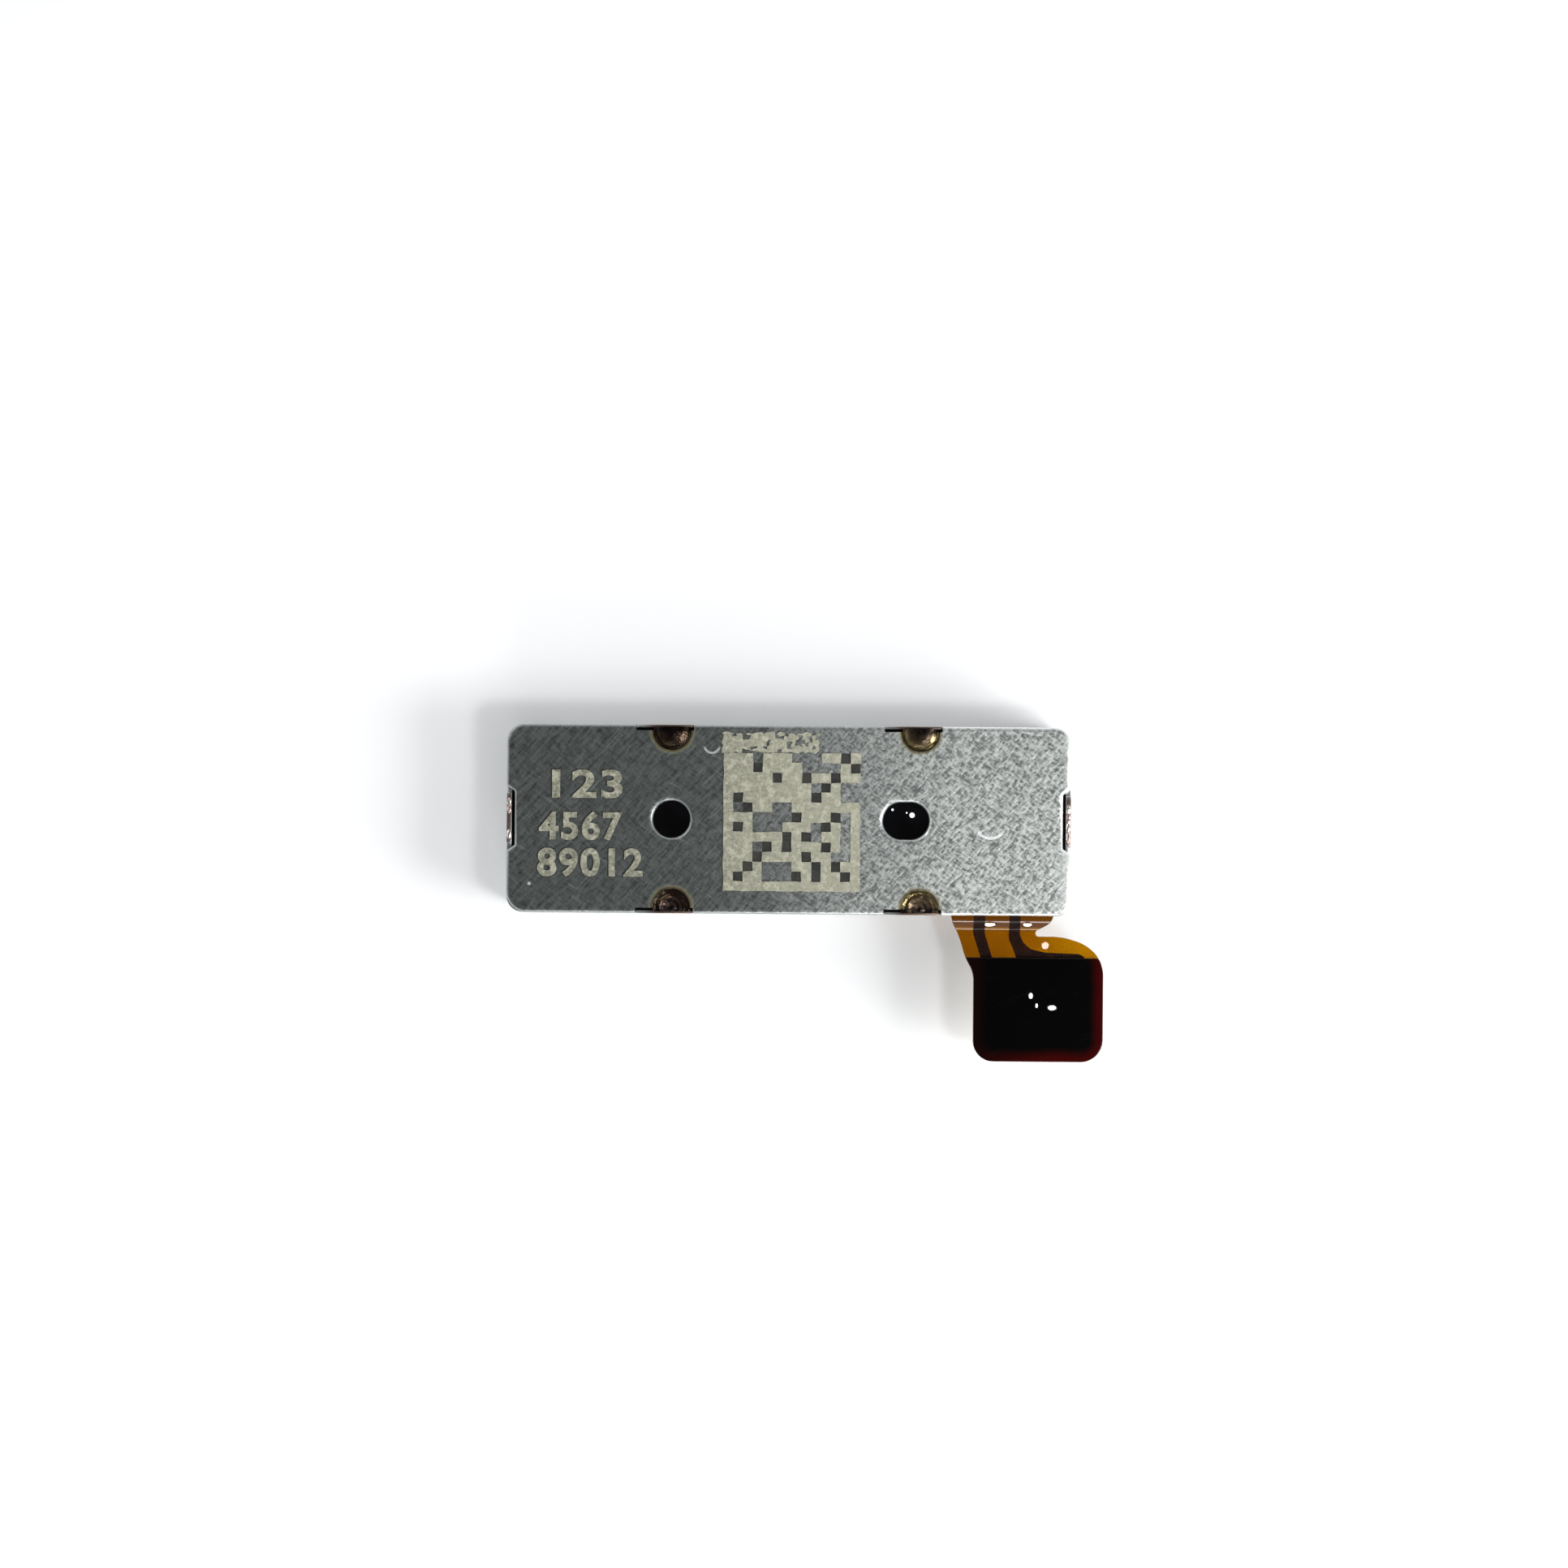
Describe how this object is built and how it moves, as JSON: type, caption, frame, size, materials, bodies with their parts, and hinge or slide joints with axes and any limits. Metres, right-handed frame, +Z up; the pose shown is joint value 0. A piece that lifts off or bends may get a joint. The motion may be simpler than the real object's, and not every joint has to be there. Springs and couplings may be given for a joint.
{
  "type": "linear vibration motor",
  "caption": "Flat rectangular steel vibration motor: a spring-hung magnet mass slides along its length under flat coils, fed by a short stiffened flex tail.",
  "frame": {"origin": "centre of the case's flat underside, the adhesive face", "axes": "+X along the case towards the tail's end, which is also the direction the mass slides; +Y across the case, away from the side the tail leaves; +Z up through the cover"},
  "size_m": [0.0201, 0.0113, 0.0032],
  "materials": {
    "case_steel": "satin",
    "cover_steel": "satin brushed",
    "weld_steel": "heat-tinted",
    "polyimide": "glossy translucent",
    "stiffener": "glossy",
    "copper": "satin",
    "gold": "satin",
    "magnet_wire": "glossy enamel",
    "resin": "glossy",
    "solder": "bright",
    "tungsten": "sintered",
    "yoke_steel": "plated",
    "magnet": "nickel plated",
    "spring_steel": "rolled",
    "rubber": "matt"
  },
  "bodies": {
    "housing": {"case_shell": "case_steel", "cover_plate": "cover_steel", "edge_welds": "weld_steel", "flex_root": "polyimide", "flex_neck": "polyimide", "left_coil": "magnet_wire", "right_coil": "magnet_wire", "coil_resin": "resin", "solder_joints": "solder", "coil_leads": "magnet_wire", "left_spring": "spring_steel", "right_spring": "spring_steel", "left_fixed_clamp": "spring_steel", "right_fixed_clamp": "spring_steel", "left_bumper": "rubber", "right_bumper": "rubber"},
    "moving_mass": {"tungsten_weight": "tungsten", "yoke_plate": "yoke_steel", "left_magnet": "magnet", "middle_magnet": "magnet", "right_magnet": "magnet", "left_moving_clamp": "spring_steel", "right_moving_clamp": "spring_steel"},
    "flex_tail": {"tail_base_film": "polyimide", "tail_copper_tracks": "copper", "tail_cover_film": "polyimide", "tail_stiffener": "stiffener", "contact_lands": "gold"}
  },
  "joints": [
    {"name": "mass_slide", "type": "slide", "parent": "housing", "child": "moving_mass", "axis": [1, 0, 0], "range_m": [-0.0005, 0.0005], "stiffness_N_per_m": 1550, "deforming": ["left_spring", "right_spring"]},
    {"name": "tail_bend", "type": "hinge", "parent": "housing", "child": "flex_tail", "pos_m": [0.00705, -0.00349, 0.00266], "axis": [1, 0, 0], "range_deg": [-60, 80], "stiffness_Nm_per_rad": 0.0011, "deforming": ["flex_neck"]}
  ]
}
